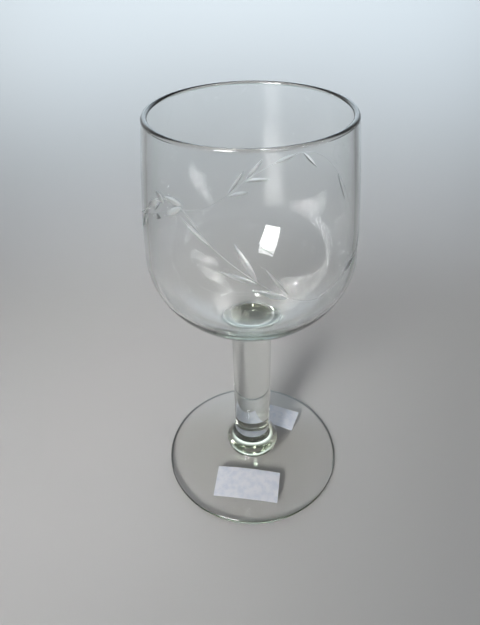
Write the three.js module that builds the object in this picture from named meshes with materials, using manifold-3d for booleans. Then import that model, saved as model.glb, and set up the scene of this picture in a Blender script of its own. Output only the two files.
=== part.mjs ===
// Stemmed wine glass in pale green soda-lime glass, with a garland of wheel-cut leaves round the
// bowl and two paper price labels stuck on the foot. Millimetres, +Z up, origin at the middle of
// the face that the foot rests on. Angles round the glass are in degrees from -Y towards +X.
import * as THREE from 'three';
import { mergeVertices } from 'three/addons/utils/BufferGeometryUtils.js';
import Module from 'manifold-3d';

const wasm = await Module();
wasm.setup();

// ---- driving dimensions ----
const HEIGHT = 145;

const FOOT_RADIUS = 35.3;
const FOOT_EDGE_HEIGHT = 1.9;
const FOOT_EDGE_ROUND = 0.95;
const FOOT_SLOPE = 0.18;
const FOOT_REST_RADIUS = 26;
const FOOT_HOLLOW_DEPTH = 1.6;
const FOOT_TOP = 7;

const KNOP_TOP = 17;
const KNOP_RADIUS = 10.4;
const KNOP_WIDEST_HEIGHT = 9.6;
const KNOP_BASE_RADIUS = 8.9;

const STEM_RADIUS = 7.05;
const STEM_TOP = 70.5;

const BOWL_BOTTOM = 74.2;
const BOWL_WIDEST_HEIGHT = 102;
const BOWL_RADIUS = 33.2;
const BOWL_ROUNDNESS = 1.95;
const RIM_RADIUS = 29.3;
const RIM_CURVE = 1.5;
const BOWL_FLARE_RADIUS = 14;
const FLARE_SLOPE = 0.41;
const CAVITY_ROUNDNESS = 2.15;
const BASE_THICKNESS = 3.9;
const WALL_AT_WIDEST = 1.6;
const WALL_AT_RIM = 1.7;

const LABEL_LENGTH = 25.4;
const LABEL_WIDTH = 12.7;
const LABEL_THICKNESS = 0.15;
const LABEL_GAP = 0.06;
// Where each label's middle lies on the foot, and how far it is turned there.
const FRONT_LABEL = { angle: -6.4, radius: 20.3, turn: -1.3 };
const REAR_LABEL = { angle: 156, radius: 17.8, turn: 5.8 };

const LEAF_SLOPE = 0.34;
const STEM_LINE_WIDTH = 0.5;
const STEM_LINE_DEPTH = 0.15;
const CUTTER_CLEARANCE = 0.12;

const ROUND_STEPS = 64;
const ROD_STEPS = 48;
const CURVE_STEPS = 10;
const LEAF_STEPS = 6;
const STEM_LINE_STEPS = 68;
const LABEL_STEPS = 8;

const GLASS = new THREE.MeshStandardMaterial({
  color: 0xd6e3d9,
  roughness: 0.04,
  metalness: 0,
  transparent: true,
  opacity: 0.35,
});
const PAPER = new THREE.MeshStandardMaterial({ color: 0xd3dbe8, roughness: 0.85, metalness: 0 });

// ---- helpers ----
const radians = THREE.MathUtils.degToRad;

function lathe(profile, steps) {
  const points = profile.map(([r, z]) => new THREE.Vector2(r, z));
  const geometry = new THREE.LatheGeometry(points, steps);
  return geometry.rotateX(Math.PI / 2);
}

function sample(count, at) {
  return Array.from({ length: count + 1 }, (_, i) => at(i / count));
}

// A smooth bend from one profile point to another, drawn towards a third.
function bend(from, towards, to) {
  const [a, b, c] = [from, towards, to].map(([r, z]) => new THREE.Vector2(r, z));
  return new THREE.QuadraticBezierCurve(a, b, c).getPoints(4).map((p) => [p.x, p.y]);
}

function arc(centreR, centreZ, radius, from, to, count) {
  return sample(count, (t) => {
    const a = radians(from + (to - from) * t);
    return [centreR + radius * Math.cos(a), centreZ + radius * Math.sin(a)];
  });
}

function toManifold(geometry) {
  const bare = geometry.clone();
  bare.deleteAttribute('normal');
  bare.deleteAttribute('uv');
  const merged = mergeVertices(bare, 1e-5);
  const solid = new wasm.Mesh({
    numProp: 3,
    vertProperties: new Float32Array(merged.attributes.position.array),
    triVerts: new Uint32Array(merged.index.array),
  });
  return new wasm.Manifold(solid);
}

function toGeometry(manifold) {
  const mesh = manifold.getMesh();
  const geometry = new THREE.BufferGeometry();
  geometry.setAttribute('position', new THREE.BufferAttribute(mesh.vertProperties, mesh.numProp));
  geometry.setIndex(new THREE.BufferAttribute(mesh.triVerts, 1));
  return geometry;
}

// A closed body through rings of points: each ring has the same number of points, in the same
// order, and the first and last rings are closed by a fan.
function loft(rings) {
  const size = rings[0].length;
  const index = [];
  for (let i = 0; i + 1 < rings.length; i += 1) {
    for (let j = 0; j < size; j += 1) {
      const a = i * size + j;
      const b = i * size + ((j + 1) % size);
      index.push(a, b, b + size, a, b + size, a + size);
    }
  }
  const last = (rings.length - 1) * size;
  for (let j = 1; j + 1 < size; j += 1) {
    index.push(0, j + 1, j);
    index.push(last, last + j, last + j + 1);
  }
  const geometry = new THREE.BufferGeometry();
  geometry.setAttribute('position', new THREE.Float32BufferAttribute(rings.flat(2), 3));
  geometry.setIndex(index);
  return geometry;
}

// ---- bowl ----
// Below its widest ring the bowl is a quarter of a superellipse, above it draws in to the rim.
function lowerRadius(z, radius, bottom) {
  const depth = (BOWL_WIDEST_HEIGHT - z) / (BOWL_WIDEST_HEIGHT - bottom);
  return radius * (1 - depth ** BOWL_ROUNDNESS) ** (1 / BOWL_ROUNDNESS);
}

function upperRadius(z, radius, rimRadius) {
  const rise = (z - BOWL_WIDEST_HEIGHT) / (HEIGHT - BOWL_WIDEST_HEIGHT);
  return radius - (radius - rimRadius) * rise ** RIM_CURVE;
}

function wallRadius(z) {
  if (z < BOWL_WIDEST_HEIGHT) {
    return lowerRadius(z, BOWL_RADIUS, BOWL_BOTTOM);
  }
  return upperRadius(z, BOWL_RADIUS, RIM_RADIUS);
}

function quarterCurve(radius, bottom, roundness, fromRadius) {
  const power = 2 / roundness;
  const depth = BOWL_WIDEST_HEIGHT - bottom;
  const start = Math.asin((fromRadius / radius) ** (1 / power));
  return sample(CURVE_STEPS, (t) => {
    const a = start + (Math.PI / 2 - start) * t;
    return [radius * Math.sin(a) ** power, BOWL_WIDEST_HEIGHT - depth * Math.cos(a) ** power];
  });
}

function bowlProfile() {
  const lip = WALL_AT_RIM / 2;
  const lipCentre = HEIGHT - lip;
  const rise = lipCentre - BOWL_WIDEST_HEIGHT;
  const heights = sample(CURVE_STEPS / 2, (t) => BOWL_WIDEST_HEIGHT + rise * t).slice(1);
  const innerWidest = BOWL_RADIUS - WALL_AT_WIDEST;
  const innerRim = RIM_RADIUS - WALL_AT_RIM;
  const outerLower = quarterCurve(BOWL_RADIUS, BOWL_BOTTOM, BOWL_ROUNDNESS, BOWL_FLARE_RADIUS);
  const [flareR, flareZ] = outerLower[0];
  const bendZ = flareZ - FLARE_SLOPE * (flareR - STEM_RADIUS);
  const flare = bend([STEM_RADIUS, STEM_TOP], [STEM_RADIUS, bendZ], [flareR, flareZ]);
  const outerUpper = heights.map((z) => [upperRadius(z, BOWL_RADIUS, RIM_RADIUS), z]);
  const lipArc = arc(RIM_RADIUS - lip, lipCentre, lip, 30, 150, 4);
  const innerUpper = heights.map((z) => [upperRadius(z, innerWidest, innerRim), z]).reverse();
  const cavityBottom = BOWL_BOTTOM + BASE_THICKNESS;
  const innerLower = quarterCurve(innerWidest, cavityBottom, CAVITY_ROUNDNESS, 0).reverse();
  return [
    [0, STEM_TOP],
    ...flare.slice(0, -1),
    ...outerLower,
    ...outerUpper,
    ...lipArc,
    ...innerUpper,
    ...innerLower,
  ];
}

// ---- engraved garland ----
// The stem line once round the bowl, as angle and height.
const GARLAND_LINE = [
  [33, 102.2],
  [17, 105.3],
  [3, 111],
  [-18, 120.5],
  [-34, 129],
  [-50, 129],
  [-65, 122.5],
  [-98, 112.5],
  [-128, 105.6],
  [-147, 102.2],
  [-165, 105.4],
  [-177, 110.7],
  [-196, 117.7],
  [-211, 122.5],
  [-228, 124.5],
  [-246, 121.5],
  [-278, 111.5],
  [-308, 105.6],
];

// Leaves, each from the angle and height of its base to those of its tip.
const GARLAND_LEAVES = [
  { base: [16.9, 105], tip: [1.4, 108.6], width: 1.9 },
  { base: [17.5, 106.4], tip: [6.2, 115.1], width: 1.1 },
  { base: [2.8, 110.4], tip: [-14.5, 114], width: 1.6 },
  { base: [2.8, 111.5], tip: [-7.6, 122.1], width: 1.7 },
  { base: [-18.1, 120.5], tip: [-34, 126.8], width: 1.3 },
  { base: [-33.2, 130], tip: [-44.5, 131], width: 1.7 },
  { base: [-33.2, 128.8], tip: [-44.6, 125.4], width: 1.7 },
  { base: [-46.5, 129.6], tip: [-54, 132], width: 1.7 },
  { base: [-50, 128.4], tip: [-61, 124.4], width: 1.7 },
  { base: [-65, 122], tip: [-75.5, 114.2], width: 1.8 },
  { base: [-98, 112], tip: [-109, 107.6], width: 1.8 },
  { base: [-99, 113], tip: [-111, 114.4], width: 1.7 },
  { base: [-117.5, 108.2], tip: [-127.4, 108.8], width: 1.9 },
  { base: [-165.4, 105], tip: [-179.1, 106.1], width: 1.7 },
  { base: [-165.4, 106], tip: [-175.8, 114.3], width: 1.3 },
  { base: [-177.1, 110.2], tip: [-192.2, 111.4], width: 1.7 },
  { base: [-177.1, 111.2], tip: [-187.9, 118.8], width: 1.4 },
  { base: [-196, 117.7], tip: [-210.8, 122.2], width: 1.4 },
  { base: [-215, 123.4], tip: [-226, 119.5], width: 1.6 },
  { base: [-245.3, 121.8], tip: [-256, 114.2], width: 1.7 },
  { base: [-278, 111], tip: [-289, 106.4], width: 1.7 },
  { base: [-297.5, 107.6], tip: [-307.4, 105.9], width: 1.9 },
];

function onWall(angle, height, outwards) {
  const a = radians(angle);
  const r = wallRadius(height) + outwards;
  return [r * Math.sin(a), -r * Math.cos(a), height];
}

// A cutter with a triangular section, drawn through stations of angle, height, half width and
// depth: two edges stand outside the wall and the keel lies under its surface.
function grooveCutter(stations) {
  const rings = stations.map(({ angle, height, half, depth }, i) => {
    const before = stations[Math.max(i - 1, 0)];
    const after = stations[Math.min(i + 1, stations.length - 1)];
    const along = (before.angle - after.angle) * radians(1) * wallRadius(height);
    const up = after.height - before.height;
    const length = Math.hypot(along, up);
    const spread = half * (1 + CUTTER_CLEARANCE / depth);
    const angleStep = (spread * (up / length)) / (radians(1) * wallRadius(height));
    const heightStep = spread * (along / length);
    return [
      onWall(angle - angleStep, height - heightStep, CUTTER_CLEARANCE),
      onWall(angle + angleStep, height + heightStep, CUTTER_CLEARANCE),
      onWall(angle, height, -depth),
    ];
  });
  return toManifold(loft(rings));
}

// A leaf's two facets meet in a keel. Its fullest part is a little nearer the base than the tip.
function leafCutter({ base, tip, width }) {
  const stations = sample(LEAF_STEPS, (t) => {
    const half = (width / 2) * Math.max(Math.sin(Math.PI * t ** 0.85), 0.06);
    return {
      angle: base[0] + (tip[0] - base[0]) * t,
      height: base[1] + (tip[1] - base[1]) * t,
      half,
      depth: LEAF_SLOPE * half,
    };
  });
  return grooveCutter(stations);
}

// The stem line stops just short of a full turn, so that its cutter's ends don't meet.
function stemLineCutter() {
  const points = GARLAND_LINE.map(([angle, height]) => new THREE.Vector3(...onWall(angle, height, 0)));
  const curve = new THREE.CatmullRomCurve3(points, true);
  const stations = [];
  for (let i = 0; i < STEM_LINE_STEPS; i += 1) {
    const p = curve.getPoint(i / STEM_LINE_STEPS);
    let angle = THREE.MathUtils.radToDeg(Math.atan2(p.x, -p.y));
    while (stations.length > 0 && angle > stations[stations.length - 1].angle) {
      angle -= 360;
    }
    stations.push({ angle, height: p.z, half: STEM_LINE_WIDTH / 2, depth: STEM_LINE_DEPTH });
  }
  return grooveCutter(stations);
}

function bowl() {
  const blank = toManifold(lathe(bowlProfile(), ROUND_STEPS));
  const cutters = [stemLineCutter(), ...GARLAND_LEAVES.map(leafCutter)];
  return toGeometry(cutters.reduce((solid, cutter) => solid.subtract(cutter), blank));
}

// ---- stem, knop and foot ----
function stem() {
  const side = [
    [STEM_RADIUS, KNOP_TOP],
    [STEM_RADIUS, STEM_TOP],
  ];
  return lathe([[0, KNOP_TOP], ...side, [0, STEM_TOP]], ROD_STEPS);
}

function knop() {
  const side = [
    [KNOP_BASE_RADIUS, FOOT_TOP],
    [KNOP_RADIUS - 0.35, KNOP_WIDEST_HEIGHT - 1.4],
    [KNOP_RADIUS, KNOP_WIDEST_HEIGHT],
    [KNOP_RADIUS - 0.45, KNOP_WIDEST_HEIGHT + 2],
    [STEM_RADIUS + 1.1, KNOP_TOP - 2.3],
    [STEM_RADIUS, KNOP_TOP],
  ];
  const curve = new THREE.SplineCurve(side.map(([r, z]) => new THREE.Vector2(r, z)));
  const outline = curve.getPoints(CURVE_STEPS).map((p) => [p.x, p.y]);
  return lathe([[0, FOOT_TOP], ...outline, [0, KNOP_TOP]], ROD_STEPS);
}

const FOOT_SLOPE_START = FOOT_RADIUS - FOOT_EDGE_ROUND;

function footTopHeight(r) {
  return FOOT_EDGE_HEIGHT + FOOT_SLOPE * (FOOT_SLOPE_START - r);
}

function foot() {
  const filletEnd = KNOP_BASE_RADIUS + 2.2;
  const filletBend = KNOP_BASE_RADIUS + 0.6;
  const fillet = bend(
    [filletEnd, footTopHeight(filletEnd)],
    [filletBend, footTopHeight(filletBend)],
    [KNOP_BASE_RADIUS, FOOT_TOP],
  );
  const edge = arc(FOOT_SLOPE_START, FOOT_EDGE_ROUND, FOOT_EDGE_ROUND, -90, 80, 6);
  const hollow = sample(CURVE_STEPS / 2, (t) => {
    return [FOOT_REST_RADIUS * t, FOOT_HOLLOW_DEPTH * (1 - t ** 2)];
  });
  return lathe([...hollow, ...edge, ...fillet, [0, FOOT_TOP]], ROUND_STEPS);
}

// ---- labels ----
// Paper laid on the cone of the foot: the flat label is measured out on the unrolled cone, from a
// centre at an angle and radius, turned in its own plane, and rolled back.
function label(place) {
  const stretch = Math.hypot(1, FOOT_SLOPE);
  const c = Math.cos(radians(place.turn));
  const s = Math.sin(radians(place.turn));
  const toCone = (u, v, lift) => {
    const across = u * c - v * s;
    const fromApex = place.radius * stretch - (u * s + v * c);
    const r = Math.hypot(across, fromApex) / stretch;
    const angle = radians(place.angle) + Math.atan2(across, fromApex) * stretch;
    return [r * Math.sin(angle), -r * Math.cos(angle), footTopHeight(r) + lift];
  };
  const rings = sample(LABEL_STEPS, (t) => {
    const u = LABEL_LENGTH * (t - 0.5);
    const across = (lift) => sample(LABEL_STEPS / 2, (q) => toCone(u, LABEL_WIDTH * (q - 0.5), lift));
    return [...across(LABEL_GAP), ...across(LABEL_GAP + LABEL_THICKNESS).reverse()];
  });
  return loft(rings);
}

// ---- assembly ----
const glass = new THREE.Group();

function add(name, geometry, material) {
  const mesh = new THREE.Mesh(geometry, material.clone());
  mesh.name = name;
  glass.add(mesh);
}

add('bowl', bowl(), GLASS);
add('stem', stem(), GLASS);
add('knop', knop(), GLASS);
add('foot', foot(), GLASS);
add('label_front', label(FRONT_LABEL), PAPER);
add('label_rear', label(REAR_LABEL), PAPER);

export default glass;
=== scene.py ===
import math

import bpy
from mathutils import Matrix, Vector

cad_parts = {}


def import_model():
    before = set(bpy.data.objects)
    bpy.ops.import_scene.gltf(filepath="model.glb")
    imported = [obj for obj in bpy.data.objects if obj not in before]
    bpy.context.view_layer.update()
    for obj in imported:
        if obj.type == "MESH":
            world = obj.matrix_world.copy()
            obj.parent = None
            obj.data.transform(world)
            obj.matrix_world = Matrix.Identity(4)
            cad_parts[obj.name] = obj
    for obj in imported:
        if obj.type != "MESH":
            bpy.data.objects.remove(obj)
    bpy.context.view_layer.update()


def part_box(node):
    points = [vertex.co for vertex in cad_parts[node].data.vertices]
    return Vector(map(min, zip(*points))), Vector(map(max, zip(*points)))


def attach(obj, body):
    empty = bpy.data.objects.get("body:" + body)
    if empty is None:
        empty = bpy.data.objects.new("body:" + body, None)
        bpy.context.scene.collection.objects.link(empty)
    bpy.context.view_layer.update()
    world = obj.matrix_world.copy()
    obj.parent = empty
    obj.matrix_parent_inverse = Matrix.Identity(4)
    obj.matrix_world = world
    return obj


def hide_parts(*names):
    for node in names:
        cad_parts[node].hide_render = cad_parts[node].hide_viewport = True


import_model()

# ---- sizes, in metres, read from model.glb or given ----
MM = 0.001
BOWL_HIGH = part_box("bowl")[1]
STEM_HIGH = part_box("stem")[1]
KNOP_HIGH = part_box("knop")[1]
FOOT_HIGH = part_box("foot")[1]

HEIGHT = BOWL_HIGH.z
BOWL_RADIUS = BOWL_HIGH.x
STEM_RADIUS = STEM_HIGH.x
STEM_TOP = STEM_HIGH.z
KNOP_TOP = KNOP_HIGH.z
KNOP_RADIUS = KNOP_HIGH.x
FOOT_RADIUS = FOOT_HIGH.x
FOOT_TOP = FOOT_HIGH.z

BOWL_BOTTOM = STEM_TOP + 3.7 * MM
BOWL_WIDEST_HEIGHT = STEM_TOP + 31.5 * MM
BOWL_ROUNDNESS = 1.95
BOWL_FLARE_RADIUS = 14 * MM
FLARE_SLOPE = 0.41
RIM_RADIUS = 29.3 * MM
RIM_CURVE = 1.5
CAVITY_ROUNDNESS = 2.15
BASE_THICKNESS = 3.9 * MM
WALL_AT_WIDEST = 1.6 * MM
WALL_AT_RIM = 1.7 * MM

KNOP_WIDEST_HEIGHT = 9.6 * MM
KNOP_BASE_RADIUS = 8.9 * MM
KNOP_NECK_RADIUS = STEM_RADIUS + 1.1 * MM

FOOT_EDGE_ROUND = 0.95 * MM
FOOT_EDGE_HEIGHT = 2 * FOOT_EDGE_ROUND
FOOT_SLOPE = 0.18
FOOT_SLOPE_START = FOOT_RADIUS - FOOT_EDGE_ROUND
FOOT_REST_RADIUS = 26 * MM
FOOT_HOLLOW_DEPTH = 1.6 * MM

LABEL_LENGTH = 25.4 * MM
LABEL_WIDTH = 12.7 * MM
LABEL_THICKNESS = 0.12 * MM
LABEL_GAP = 0.06 * MM
LABEL_COLUMNS = 48
LABEL_ROWS = 24
# Each label's centre, as angle in degrees from -Y towards +X and radius, and its turn in degrees.
FRONT_LABEL = (-6.4, 20.3 * MM, -1.3)
REAR_LABEL = (156, 17.8 * MM, 5.8)

# A leaf is cut this deep for each millimetre of half its width.
LEAF_DEPTH = 0.37 * MM
STEM_LINE_WIDTH = 0.15 * MM
STEM_LINE_DEPTH = 0.03 * MM
CUTTER_CLEARANCE = 0.12 * MM

GLASS_IOR = 1.51
# The colour that light takes on through deep glass, and the depth that it takes.
BOWL_TINT = ((0.22, 0.42, 0.27, 1), 60 * MM)
RIM_TINT = ((0.06, 0.28, 0.15, 1), 1.8 * MM)
STEM_TINT = ((0.3, 0.4, 0.2, 1), 100 * MM)
FOOT_TINT = ((0.55, 0.57, 0.42, 1), 18 * MM)
# The foot's edge takes a much darker green over a short depth. This is partly the glass's own colour
# along the edge and partly painted shade for the dark line round the edge.
FOOT_EDGE_TINT_AND_PAINTED_SHADE = ((0.05, 0.16, 0.1, 1), 4 * MM)

ROUND_STEPS = 256
SEAM_GAP = 0.01 * MM
SHARP_ANGLE = math.radians(12)
AXIS_LIMIT = 1e-9

# The floor lies a hair under the foot, so that no two surfaces coincide.
FLOOR_HEIGHT = -0.1 * MM
FLOOR_RADIUS = 4.0
FLOOR_SIDES = 96
POLISHED_SPOT = (-0.08, -0.15, 0)

CAMERA_BACK = 146.1 * MM
CAMERA_HEIGHT = 189.6 * MM
CAMERA_PITCH = 37.91
CAMERA_YAW = -1.57
CAMERA_ROLL = -1.42
CAMERA_LENS = 30.58

ROOM_LIGHT = (0.2, 0.2, 0.2)
# Soft patches of daylight round the room, as azimuth, elevation, tightness and colour.
DAYLIGHT = [
    (110, 26, 20, (0.3, 0.3, 0.3)),
    (250, 26, 20, (0.3, 0.3, 0.3)),
    (160, 17, 30, (1.45, 1.7, 1.9)),
    (180, 14, 30, (1.3, 1.49, 1.63)),
    (200, 17, 30, (1.5, 1.74, 1.92)),
    (220, 14, 30, (0.5, 0.5, 0.5)),
]


# ---- profiles ----
def sample(count, at):
    return [at(i / count) for i in range(count + 1)]


def arc(centre_r, centre_z, radius, start, end, count):
    def point(t):
        a = math.radians(start + (end - start) * t)
        return (centre_r + radius * math.cos(a), centre_z + radius * math.sin(a))

    return sample(count, point)


def bezier(a, b, c, count):
    def point(t):
        s = 1 - t
        return tuple(s * s * p + 2 * s * t * q + t * t * r for p, q, r in zip(a, b, c))

    return sample(count, point)


def spline(points, per_span):
    """A Catmull-Rom curve through points, with its ends repeated."""
    padded = [points[0], *points, points[-1]]
    made = []
    for i in range(1, len(padded) - 2):
        p0, p1, p2, p3 = padded[i - 1 : i + 3]
        for k in range(per_span):
            t = k / per_span
            made.append(tuple(
                0.5 * (2 * b + (c - a) * t + (2 * a - 5 * b + 4 * c - d) * t * t
                       + (3 * b - a - 3 * c + d) * t ** 3)
                for a, b, c, d in zip(p0, p1, p2, p3)
            ))
    made.append(tuple(points[-1]))
    return made


def lower_radius(z, radius, bottom):
    depth = (BOWL_WIDEST_HEIGHT - z) / (BOWL_WIDEST_HEIGHT - bottom)
    return radius * (1 - depth ** BOWL_ROUNDNESS) ** (1 / BOWL_ROUNDNESS)


def upper_radius(z, radius, rim_radius):
    rise = (z - BOWL_WIDEST_HEIGHT) / (HEIGHT - BOWL_WIDEST_HEIGHT)
    return radius - (radius - rim_radius) * rise ** RIM_CURVE


def wall_radius(z):
    if z < BOWL_WIDEST_HEIGHT:
        return lower_radius(z, BOWL_RADIUS, BOWL_BOTTOM)
    return upper_radius(z, BOWL_RADIUS, RIM_RADIUS)


def quarter_curve(radius, bottom, roundness, from_radius, count):
    power = 2 / roundness
    start = math.asin((from_radius / radius) ** (1 / power))

    def point(t):
        a = start + (math.pi / 2 - start) * t
        r = radius * math.sin(a) ** power
        z = BOWL_WIDEST_HEIGHT - (BOWL_WIDEST_HEIGHT - bottom) * max(math.cos(a), 0) ** power
        return (r, z)

    return sample(count, point)


def bowl_profile():
    lip = WALL_AT_RIM / 2
    lip_centre = HEIGHT - lip
    rise = lip_centre - BOWL_WIDEST_HEIGHT
    heights = sample(36, lambda t: BOWL_WIDEST_HEIGHT + rise * t)[1:]
    inner_widest = BOWL_RADIUS - WALL_AT_WIDEST
    inner_rim = RIM_RADIUS - WALL_AT_RIM
    outer_lower = quarter_curve(BOWL_RADIUS, BOWL_BOTTOM, BOWL_ROUNDNESS, BOWL_FLARE_RADIUS, 48)
    flare_end = outer_lower[0]
    bend = (STEM_RADIUS, flare_end[1] - FLARE_SLOPE * (flare_end[0] - STEM_RADIUS))
    flare = bezier((STEM_RADIUS, STEM_TOP + SEAM_GAP), bend, flare_end, 10)[:-1]
    outer_upper = [(upper_radius(z, BOWL_RADIUS, RIM_RADIUS), z) for z in heights]
    lip_arc = arc(RIM_RADIUS - lip, lip_centre, lip, 8, 172, 20)
    inner_upper = [(upper_radius(z, inner_widest, inner_rim), z) for z in reversed(heights)]
    cavity_bottom = BOWL_BOTTOM + BASE_THICKNESS
    inner_lower = quarter_curve(inner_widest, cavity_bottom, CAVITY_ROUNDNESS, 0, 48)[::-1]
    outer = flare + outer_lower + outer_upper
    inner = inner_upper + inner_lower
    return outer, [outer[-1], *lip_arc, inner[0]], inner


def knop_profile():
    return spline([
        (KNOP_BASE_RADIUS, FOOT_TOP + SEAM_GAP),
        (KNOP_RADIUS - 0.35 * MM, KNOP_WIDEST_HEIGHT - 1.4 * MM),
        (KNOP_RADIUS, KNOP_WIDEST_HEIGHT),
        (KNOP_RADIUS - 0.45 * MM, KNOP_WIDEST_HEIGHT + 2 * MM),
        (KNOP_NECK_RADIUS, KNOP_TOP - 2.3 * MM),
        (STEM_RADIUS, KNOP_TOP - SEAM_GAP),
    ], 8)


def foot_top_height(r):
    return FOOT_EDGE_HEIGHT + FOOT_SLOPE * (FOOT_SLOPE_START - r)


def foot_profile():
    fillet_end = KNOP_BASE_RADIUS + 2.2 * MM
    fillet_bend = KNOP_BASE_RADIUS + 0.6 * MM
    fillet = bezier(
        (fillet_end, foot_top_height(fillet_end)),
        (fillet_bend, foot_top_height(fillet_bend)),
        (KNOP_BASE_RADIUS, FOOT_TOP - SEAM_GAP),
        10,
    )

    def hollow(t):
        r = FOOT_REST_RADIUS * t
        return (r, FOOT_HOLLOW_DEPTH * (1 - t * t))

    edge = arc(FOOT_SLOPE_START, FOOT_EDGE_ROUND, FOOT_EDGE_ROUND, -90, 80, 20)
    return sample(16, hollow) + edge[:1], edge, edge[-1:] + fillet


# ---- meshes ----
# The material slots that every turned piece has first.
BODY, SEAM = 0, 1


def mesh_object(name, points, faces, materials, material_of, smooth_of):
    mesh = bpy.data.meshes.new(name)
    mesh.from_pydata(points, [], faces)
    for material in materials:
        mesh.materials.append(material)
    mesh.polygons.foreach_set("material_index", material_of)
    mesh.polygons.foreach_set("use_smooth", smooth_of)
    mesh.update()
    obj = bpy.data.objects.new(name, mesh)
    bpy.context.scene.collection.objects.link(obj)
    return obj


def lathe(name, sections, materials):
    """A closed body of revolution. sections are (material slot, profile points) in order, from
    the axis outwards and back to the axis. A seam is flat, where two pieces meet."""
    points, faces, material_of = [], [], []
    rows = []

    def ring(r, z):
        first = len(points)
        if r < AXIS_LIMIT:
            points.append((0, 0, z))
            return [first] * ROUND_STEPS
        for k in range(ROUND_STEPS):
            a = 2 * math.pi * k / ROUND_STEPS
            points.append((r * math.sin(a), -r * math.cos(a), z))
        return list(range(first, first + ROUND_STEPS))

    for slot, profile in sections:
        for i, (r, z) in enumerate(profile):
            if i == 0 and rows:
                continue
            rows.append((slot, ring(r, z)))
    for (_, a), (slot, b) in zip(rows, rows[1:]):
        for k in range(ROUND_STEPS):
            n = (k + 1) % ROUND_STEPS
            corners = [a[k], a[n], b[n], b[k]]
            face = [c for i, c in enumerate(corners) if c not in corners[:i]]
            faces.append(face)
            material_of.append(slot)
    smooth_of = [slot != SEAM for slot in material_of]
    obj = mesh_object(name, points, faces, materials, material_of, smooth_of)
    obj.data.set_sharp_from_angle(angle=SHARP_ANGLE)
    return obj


# ---- engraved garland ----
# The stem line once round the bowl, as angle in degrees from -Y towards +X, and height in mm.
GARLAND_LINE = [
    (33, 102.2), (17, 105.3), (3, 111), (-18, 120.5), (-34, 129), (-50, 129), (-65, 122.5),
    (-98, 112.5), (-128, 105.6), (-147, 102.2), (-165, 105.4), (-177, 110.7), (-196, 117.7),
    (-211, 122.5), (-228, 124.5), (-246, 121.5), (-278, 111.5), (-308, 105.6),
]
# Leaves as the angle and height of their base, the angle and height of their tip, and width in mm.
GARLAND_LEAVES = [
    (16.9, 105, 1.4, 108.6, 1.9),
    (17.5, 106, 6.2, 115.1, 0.9),
    (2.8, 110.6, -14.5, 114, 1.6),
    (2.8, 111.2, -7.6, 122.1, 1.7),
    (-18.1, 120.5, -34, 126.8, 0.8),
    (-33.2, 129.9, -44.5, 130.6, 1.7),
    (-33.2, 129.5, -44.6, 125.4, 1.7),
    (-45.1, 128.6, -52, 130.8, 1.7),
    (-50, 128.2, -61, 124.8, 1.7),
    (-65, 121.5, -75.5, 114.2, 1.8),
    (-98, 112, -109, 107.6, 1.8),
    (-99, 113.2, -111, 113.8, 1.7),
    (-117.5, 107.6, -127.4, 105.9, 1.9),
    (-165.4, 105, -179.1, 106.1, 1.7),
    (-165.4, 105.8, -175.8, 114.3, 1.3),
    (-177.1, 110.4, -192.2, 111.4, 1.7),
    (-177.1, 111, -187.9, 118.8, 1.4),
    (-196, 117.7, -210.8, 122.2, 1.4),
    (-215, 123.4, -226, 119.5, 1.6),
    (-245.3, 121.8, -256, 114.2, 1.7),
    (-278, 111, -289, 106.4, 1.7),
    (-297.5, 107.6, -307.4, 105.9, 1.9),
]


def on_wall(angle, height, outwards):
    a = math.radians(angle)
    r = wall_radius(height) + outwards
    return Vector((r * math.sin(a), -r * math.cos(a), height))


def groove(stations):
    """Points and faces of a cutter with a triangular section: two edges stand outside the wall and
    the keel lies under its surface. stations are (angle, height, half width, depth)."""
    points = []
    for i, (angle, height, half, depth) in enumerate(stations):
        before = stations[max(i - 1, 0)]
        after = stations[min(i + 1, len(stations) - 1)]
        per_degree = math.radians(wall_radius(height))
        along = (before[0] - after[0]) * per_degree
        up = after[1] - before[1]
        length = math.hypot(along, up)
        spread = half * (1 + CUTTER_CLEARANCE / depth)
        angle_step = spread * up / length / per_degree
        height_step = spread * along / length
        points.append(on_wall(angle - angle_step, height - height_step, CUTTER_CLEARANCE))
        points.append(on_wall(angle + angle_step, height + height_step, CUTTER_CLEARANCE))
        points.append(on_wall(angle, height, -depth))
    faces = []
    for i in range(len(stations) - 1):
        for j in range(3):
            a = 3 * i + j
            b = 3 * i + (j + 1) % 3
            faces.append((a, b, b + 3, a + 3))
    last = 3 * (len(stations) - 1)
    faces.append((0, 2, 1))
    faces.append((last, last + 1, last + 2))
    return points, faces


def leaf(angle, height, tip_angle, tip_height, width):
    def station(t):
        fullness = max(math.sin(math.pi * t ** 0.85), 0.04)
        return (
            angle + (tip_angle - angle) * t,
            (height + (tip_height - height) * t) * MM,
            width * MM / 2 * fullness,
            LEAF_DEPTH * width / 2 * fullness,
        )

    return groove(sample(20, station))


def garland():
    lap = [(a + 360, z) for a, z in GARLAND_LINE[-2:]]
    rest = [(a - 360, z) for a, z in GARLAND_LINE[:3]]
    track = [(a, z * MM) for a, z in spline(lap + GARLAND_LINE + rest, 8)]
    start = GARLAND_LINE[0][0]
    end = start - 358
    track = [p for p in track if end < p[0] <= start]
    line = groove([(a, z, STEM_LINE_WIDTH / 2, STEM_LINE_DEPTH) for a, z in track])
    return [line] + [leaf(*one) for one in GARLAND_LEAVES]


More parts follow.
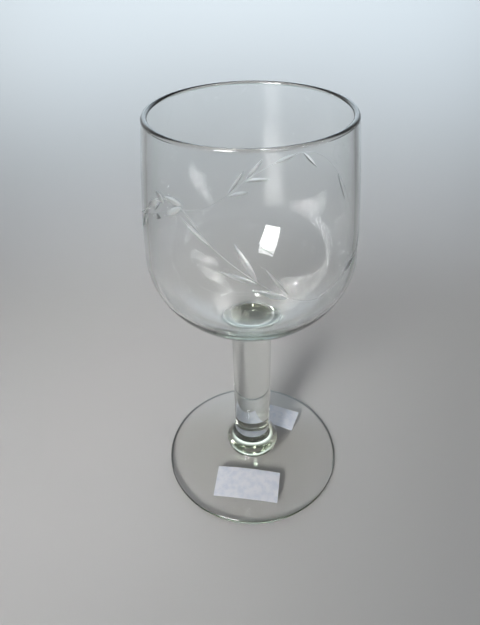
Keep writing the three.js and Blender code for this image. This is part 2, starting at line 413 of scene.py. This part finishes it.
def engrave(bowl, materials):
    """The garland is cut into the bowl. Its cut faces take the last material."""
    points, faces = [], []
    for groove_points, groove_faces in garland():
        first = len(points)
        points += groove_points
        faces += [tuple(first + j for j in face) for face in groove_faces]
    frosted = [len(materials) - 1] * len(faces)
    cutter = mesh_object("cutter", points, faces, materials, frosted, [True] * len(faces))
    modifier = bowl.modifiers.new("engraving", "BOOLEAN")
    modifier.operation = "DIFFERENCE"
    modifier.object = cutter
    modifier.solver = "EXACT"
    modifier.use_self = True
    bpy.context.view_layer.update()
    evaluated = bowl.evaluated_get(bpy.context.evaluated_depsgraph_get())
    mesh = bpy.data.meshes.new_from_object(evaluated)
    bowl.modifiers.clear()
    bowl.data = mesh
    bpy.data.objects.remove(cutter)
    mesh.set_sharp_from_angle(angle=SHARP_ANGLE)


# ---- materials ----
class Nodes:
    """A material's node tree, built by short calls."""

    def __init__(self, name):
        self.material = bpy.data.materials.new(name)
        self.material.use_nodes = True
        self.tree = self.material.node_tree
        self.tree.nodes.clear()
        self.out = self.add("ShaderNodeOutputMaterial")

    def add(self, kind, **settings):
        node = self.tree.nodes.new(kind)
        for key, value in settings.items():
            setattr(node, key, value)
        return node

    def link(self, source, target):
        self.tree.links.new(source, target)


def pass_lamps(n, shader, face_on, grazing):
    """Light from lamps goes through the glass, dimmed to face_on or, at a slant, to grazing."""
    rays = n.add("ShaderNodeLightPath")
    either = n.add("ShaderNodeMath", operation="MAXIMUM")
    facing = n.add("ShaderNodeLayerWeight")
    facing.inputs["Blend"].default_value = 0.2
    shade = n.add("ShaderNodeMix", data_type="RGBA")
    shade.inputs["A"].default_value = (face_on, face_on, face_on, 1)
    shade.inputs["B"].default_value = (grazing, grazing, grazing, 1)
    clear = n.add("ShaderNodeBsdfTransparent")
    mix = n.add("ShaderNodeMixShader")
    n.link(rays.outputs["Is Shadow Ray"], either.inputs[0])
    n.link(rays.outputs["Is Diffuse Ray"], either.inputs[1])
    n.link(facing.outputs["Facing"], shade.inputs["Factor"])
    n.link(shade.outputs["Result"], clear.inputs["Color"])
    n.link(either.outputs["Value"], mix.inputs["Fac"])
    n.link(shader.outputs["BSDF"], mix.inputs[1])
    n.link(clear.outputs["BSDF"], mix.inputs[2])
    n.link(mix.outputs["Shader"], n.out.inputs["Surface"])


def depth_tint(n, deep_colour, depth, target):
    """Light that leaves the glass has lost some of its red and blue on the way through it."""
    rays = n.add("ShaderNodeLightPath")
    side = n.add("ShaderNodeNewGeometry")
    inside = n.add("ShaderNodeMath", operation="MULTIPLY")
    rate = n.add("ShaderNodeMath", operation="MULTIPLY")
    rate.inputs[1].default_value = -1 / depth
    kept = n.add("ShaderNodeMath", operation="EXPONENT")
    tint = n.add("ShaderNodeMix", data_type="RGBA")
    tint.inputs["A"].default_value = deep_colour
    tint.inputs["B"].default_value = (1, 1, 1, 1)
    n.link(rays.outputs["Ray Length"], inside.inputs[0])
    n.link(side.outputs["Backfacing"], inside.inputs[1])
    n.link(inside.outputs["Value"], rate.inputs[0])
    n.link(rate.outputs["Value"], kept.inputs[0])
    n.link(kept.outputs["Value"], tint.inputs["Factor"])
    n.link(tint.outputs["Result"], target)


def glass_material(name, tint, face_on, grazing):
    n = Nodes(name)
    glass = n.add("ShaderNodeBsdfGlass")
    glass.inputs["Roughness"].default_value = 0
    glass.inputs["IOR"].default_value = GLASS_IOR
    depth_tint(n, *tint, glass.inputs["Color"])
    pass_lamps(n, glass, face_on, grazing)
    return n.material


def cut_material():
    """The wheel's finely frosted cut."""
    n = Nodes("glass_cut")
    glass = n.add("ShaderNodeBsdfPrincipled")
    glass.inputs["Base Color"].default_value = (0.93, 0.95, 0.94, 1)
    glass.inputs["Roughness"].default_value = 0.3
    glass.inputs["IOR"].default_value = GLASS_IOR
    glass.inputs["Transmission Weight"].default_value = 0.76
    pass_lamps(n, glass, 0.8, 0.5)
    return n.material


def seam_material():
    """The welded face between two glass pieces, which light passes unchanged."""
    n = Nodes("glass_seam")
    clear = n.add("ShaderNodeBsdfTransparent")
    n.link(clear.outputs["BSDF"], n.out.inputs["Surface"])
    return n.material


def paper_material():
    n = Nodes("label_paper")
    paper = n.add("ShaderNodeBsdfPrincipled")
    paper.inputs["Roughness"].default_value = 0.8
    where = n.add("ShaderNodeTexCoord")
    stain = n.add("ShaderNodeTexNoise")
    stain.inputs["Scale"].default_value = 420
    stain.inputs["Detail"].default_value = 3
    tone = n.add("ShaderNodeValToRGB")
    tone.color_ramp.elements[0].position = 0.35
    tone.color_ramp.elements[0].color = (0.68, 0.72, 0.81, 1)
    tone.color_ramp.elements[1].position = 0.6
    tone.color_ramp.elements[1].color = (0.78, 0.8, 0.86, 1)
    fibre = n.add("ShaderNodeTexNoise")
    fibre.inputs["Scale"].default_value = 3500
    bump = n.add("ShaderNodeBump")
    bump.inputs["Strength"].default_value = 0.25
    bump.inputs["Distance"].default_value = 0.05 * MM
    n.link(where.outputs["Object"], stain.inputs["Vector"])
    n.link(where.outputs["Object"], fibre.inputs["Vector"])
    n.link(stain.outputs["Fac"], tone.inputs["Fac"])
    n.link(tone.outputs["Color"], paper.inputs["Base Color"])
    n.link(fibre.outputs["Fac"], bump.inputs["Height"])
    n.link(bump.outputs["Normal"], paper.inputs["Normal"])
    n.link(paper.outputs["BSDF"], n.out.inputs["Surface"])
    return n.material


def floor_material():
    """A pale board, polished at the back and in one spot in front of the glass."""
    n = Nodes("floor")
    board = n.add("ShaderNodeBsdfPrincipled")
    board.inputs["Base Color"].default_value = (0.6, 0.59, 0.582, 1)
    board.inputs["Roughness"].default_value = 0.22
    place = n.add("ShaderNodeTexCoord")
    axes = n.add("ShaderNodeSeparateXYZ")
    n.link(place.outputs["Object"], axes.inputs["Vector"])
    from_spot = n.add("ShaderNodeVectorMath", operation="DISTANCE")
    from_spot.inputs[1].default_value = POLISHED_SPOT
    n.link(place.outputs["Object"], from_spot.inputs[0])
    slant = n.add("ShaderNodeLayerWeight")

    def fade(source, start, end, most):
        ramp = n.add("ShaderNodeMapRange", interpolation_type="SMOOTHSTEP")
        ramp.inputs["From Min"].default_value = start
        ramp.inputs["From Max"].default_value = end
        ramp.inputs["To Max"].default_value = most
        n.link(source, ramp.inputs["Value"])
        return ramp.outputs["Result"]

    spot = n.add("ShaderNodeMath", operation="MULTIPLY")
    n.link(fade(from_spot.outputs["Value"], 120 * MM, 70 * MM, 0.8), spot.inputs[0])
    n.link(fade(slant.outputs["Facing"], 0.54, 0.44, 1), spot.inputs[1])
    polish = n.add("ShaderNodeMath", operation="MAXIMUM")
    n.link(fade(axes.outputs["Y"], 80 * MM, 180 * MM, 0.5), polish.inputs[0])
    n.link(spot.outputs["Value"], polish.inputs[1])
    n.link(polish.outputs["Value"], board.inputs["Specular IOR Level"])
    n.link(board.outputs["BSDF"], n.out.inputs["Surface"])
    return n.material


# ---- labels ----
def label(name, centre_angle, centre_radius, turn, material):
    """Paper laid on the cone of the foot, measured out on the unrolled cone and rolled back."""
    stretch = math.hypot(1, FOOT_SLOPE)
    c, s = math.cos(math.radians(turn)), math.sin(math.radians(turn))

    def to_cone(u, v, lift):
        across = u * c - v * s
        from_apex = centre_radius * stretch - (u * s + v * c)
        r = math.hypot(across, from_apex) / stretch
        angle = math.radians(centre_angle) + math.atan2(across, from_apex) * stretch
        return (r * math.sin(angle), -r * math.cos(angle), foot_top_height(r) + lift)

    points = []
    for lift in (LABEL_GAP, LABEL_GAP + LABEL_THICKNESS):
        for j in range(LABEL_ROWS + 1):
            for i in range(LABEL_COLUMNS + 1):
                u = LABEL_LENGTH * (i / LABEL_COLUMNS - 0.5)
                v = LABEL_WIDTH * (j / LABEL_ROWS - 0.5)
                points.append(to_cone(u, v, lift))
    width = LABEL_COLUMNS + 1
    layer = width * (LABEL_ROWS + 1)
    faces = []
    for j in range(LABEL_ROWS):
        for i in range(LABEL_COLUMNS):
            a = j * width + i
            faces.append((a, a + width, a + width + 1, a + 1))
            faces.append((a + layer, a + layer + 1, a + layer + width + 1, a + layer + width))
    border = [(i, 0) for i in range(LABEL_COLUMNS)]
    border += [(LABEL_COLUMNS, j) for j in range(LABEL_ROWS)]
    border += [(i, LABEL_ROWS) for i in range(LABEL_COLUMNS, 0, -1)]
    border += [(0, j) for j in range(LABEL_ROWS, 0, -1)]
    loop = [j * width + i for i, j in border]
    for a, b in zip(loop, loop[1:] + loop[:1]):
        faces.append((a, b, b + layer, a + layer))
    obj = mesh_object(name, points, faces, [material], [0] * len(faces), [True] * len(faces))
    obj.data.set_sharp_from_angle(angle=SHARP_ANGLE)
    return obj


# ---- stage, light and camera ----
def floor():
    turns = [2 * math.pi * k / FLOOR_SIDES for k in range(FLOOR_SIDES)]
    points = [(FLOOR_RADIUS * math.cos(a), FLOOR_RADIUS * math.sin(a), FLOOR_HEIGHT) for a in turns]
    obj = mesh_object("floor", points, [tuple(range(FLOOR_SIDES))], [floor_material()], [0], [False])


def direction(azimuth, elevation):
    """A unit vector towards an azimuth, in degrees from -Y towards +X, and an elevation."""
    a, e = math.radians(azimuth), math.radians(elevation)
    return Vector((math.sin(a) * math.cos(e), -math.cos(a) * math.cos(e), math.sin(e)))


def softbox(name, azimuth, elevation, distance, width, height, power, colour, spread, aim):
    light = bpy.data.lights.new(name, "AREA")
    light.spread = math.radians(spread)
    light.shape = "RECTANGLE"
    light.size = width
    light.size_y = height
    light.energy = power
    light.color = colour
    obj = bpy.data.objects.new(name, light)
    towards = direction(azimuth, elevation)
    obj.location = Vector((0, 0, HEIGHT / 2)) + towards * distance
    obj.rotation_mode = "QUATERNION"
    obj.rotation_quaternion = (obj.location - Vector(aim)).to_track_quat("Z", "Y")
    obj.visible_camera = False
    bpy.context.scene.collection.objects.link(obj)
    return obj


def window_pane(name, azimuth, elevation, distance, width, height, radiance):
    """The bright window as it shows in glass and in the table's gloss, without lighting the room."""
    power = radiance * math.pi * width * height
    aim = (0, 0, HEIGHT / 2)
    pane = softbox(name, azimuth, elevation, distance, width, height, power, (1, 1, 1), 180, aim)
    pane.visible_diffuse = False


def world():
    """A dim room with daylight low behind the glass."""
    made = bpy.data.worlds.new("studio")
    made.use_nodes = True
    tree = made.node_tree
    where = tree.nodes.new("ShaderNodeTexCoord")
    total = None
    for azimuth, elevation, tightness, colour in DAYLIGHT:
        dot = tree.nodes.new("ShaderNodeVectorMath")
        dot.operation = "DOT_PRODUCT"
        dot.inputs[1].default_value = direction(azimuth, elevation)
        front = tree.nodes.new("ShaderNodeMath")
        front.operation = "MAXIMUM"
        front.inputs[1].default_value = 0
        lobe = tree.nodes.new("ShaderNodeMath")
        lobe.operation = "POWER"
        lobe.inputs[1].default_value = tightness
        scaled = tree.nodes.new("ShaderNodeVectorMath")
        scaled.operation = "MULTIPLY_ADD"
        scaled.inputs[0].default_value = colour
        scaled.inputs[2].default_value = ROOM_LIGHT
        tree.links.new(where.outputs["Generated"], dot.inputs[0])
        tree.links.new(dot.outputs["Value"], front.inputs[0])
        tree.links.new(front.outputs["Value"], lobe.inputs[0])
        tree.links.new(lobe.outputs["Value"], scaled.inputs[1])
        if total is not None:
            tree.links.new(total.outputs["Vector"], scaled.inputs[2])
        total = scaled
    tree.links.new(total.outputs["Vector"], tree.nodes["Background"].inputs["Color"])
    bpy.context.scene.world = made


def camera():
    pitch = math.radians(CAMERA_PITCH)
    yaw = math.radians(CAMERA_YAW)
    roll = math.radians(CAMERA_ROLL)
    level_part = math.cos(pitch)
    forward = Vector((math.sin(yaw) * level_part, math.cos(yaw) * level_part, -math.sin(pitch)))
    level = forward.cross(Vector((0, 0, 1))).normalized()
    upright = level.cross(forward)
    right = level * math.cos(roll) + upright * math.sin(roll)
    up = upright * math.cos(roll) - level * math.sin(roll)
    data = bpy.data.cameras.new("camera")
    data.lens = CAMERA_LENS
    data.clip_start = 0.01
    obj = bpy.data.objects.new("camera", data)
    turned = Matrix((right, up, -forward)).transposed().to_4x4()
    obj.matrix_world = Matrix.Translation((0, -CAMERA_BACK, CAMERA_HEIGHT)) @ turned
    bpy.context.scene.collection.objects.link(obj)
    bpy.context.scene.camera = obj


def place(obj, node, slot):
    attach(obj, "root")
    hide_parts(node)


def build():
    camera()
    clear = glass_material("glass_bowl", BOWL_TINT, 0.95, 0.5)
    rim = glass_material("glass_rim", RIM_TINT, 0.8, 0.5)
    rod = glass_material("glass_stem", STEM_TINT, 0.1, 0.5)
    disc = glass_material("glass_foot", FOOT_TINT, 1, 0.8)
    # The foot's edge is a darker copy of the foot glass: painted shade for its dark line, partly its
    # own colour.
    disc_edge_tint_and_painted_shade = glass_material("glass_foot_edge_tint_and_painted_shade", FOOT_EDGE_TINT_AND_PAINTED_SHADE, 0.25, 0.25)
    cut = cut_material()
    seam = seam_material()
    paper = paper_material()

    bowl_seam = [(0, STEM_TOP + SEAM_GAP), (STEM_RADIUS, STEM_TOP + SEAM_GAP)]
    outer, lip, inner = bowl_profile()
    bowl_materials = [clear, seam, rim, cut]
    bowl_sections = [(SEAM, bowl_seam), (BODY, outer), (bowl_materials.index(rim), lip), (BODY, inner)]
    bowl = lathe("bowl_glass", bowl_sections, bowl_materials)
    engrave(bowl, bowl_materials)
    place(bowl, "bowl", "glass")

    stem_low, stem_high = KNOP_TOP + SEAM_GAP, STEM_TOP - SEAM_GAP
    stem_side = sample(24, lambda t: (STEM_RADIUS, stem_low + (stem_high - stem_low) * t))
    stem = lathe("stem_glass", [
        (SEAM, [(0, stem_low), (STEM_RADIUS, stem_low)]),
        (BODY, stem_side),
        (SEAM, [(STEM_RADIUS, stem_high), (0, stem_high)]),
    ], [rod, seam])
    place(stem, "stem", "glass")

    knop = lathe("knop_glass", [
        (SEAM, [(0, FOOT_TOP + SEAM_GAP), (KNOP_BASE_RADIUS, FOOT_TOP + SEAM_GAP)]),
        (BODY, knop_profile()),
        (SEAM, [(STEM_RADIUS, KNOP_TOP - SEAM_GAP), (0, KNOP_TOP - SEAM_GAP)]),
    ], [rod, seam])
    place(knop, "knop", "glass")

    underside, edge, top = foot_profile()
    foot_materials = [disc, seam, disc_edge_tint_and_painted_shade]
    foot = lathe("foot_glass", [
        (BODY, underside),
        (foot_materials.index(disc_edge_tint_and_painted_shade), edge),
        (BODY, top),
        (SEAM, [(KNOP_BASE_RADIUS, FOOT_TOP - SEAM_GAP), (0, FOOT_TOP - SEAM_GAP)]),
    ], foot_materials)
    place(foot, "foot", "glass")

    place(label("label_front_paper", *FRONT_LABEL, paper), "label_front", "label_paper")
    place(label("label_rear_paper", *REAR_LABEL, paper), "label_rear", "label_paper")

    floor()
    world()
    softbox(
        "window", azimuth=-28.5, elevation=36, distance=0.79, width=0.2, height=0.36,
        power=0.245, colour=(1, 0.99, 0.98), spread=32, aim=(-0.07, 0.02, 0),
    )
    window_pane("pane", azimuth=-28, elevation=34.5, distance=3, width=1, height=2, radiance=19)

    scene = bpy.context.scene
    scene.view_settings.view_transform = "Standard"
    scene.cycles.max_bounces = 24
    scene.cycles.transmission_bounces = 24
    scene.cycles.glossy_bounces = 12
    scene.cycles.transparent_max_bounces = 32
    scene.cycles.caustics_refractive = False
    scene.cycles.caustics_reflective = False
    scene.cycles.sample_clamp_indirect = 0


build()
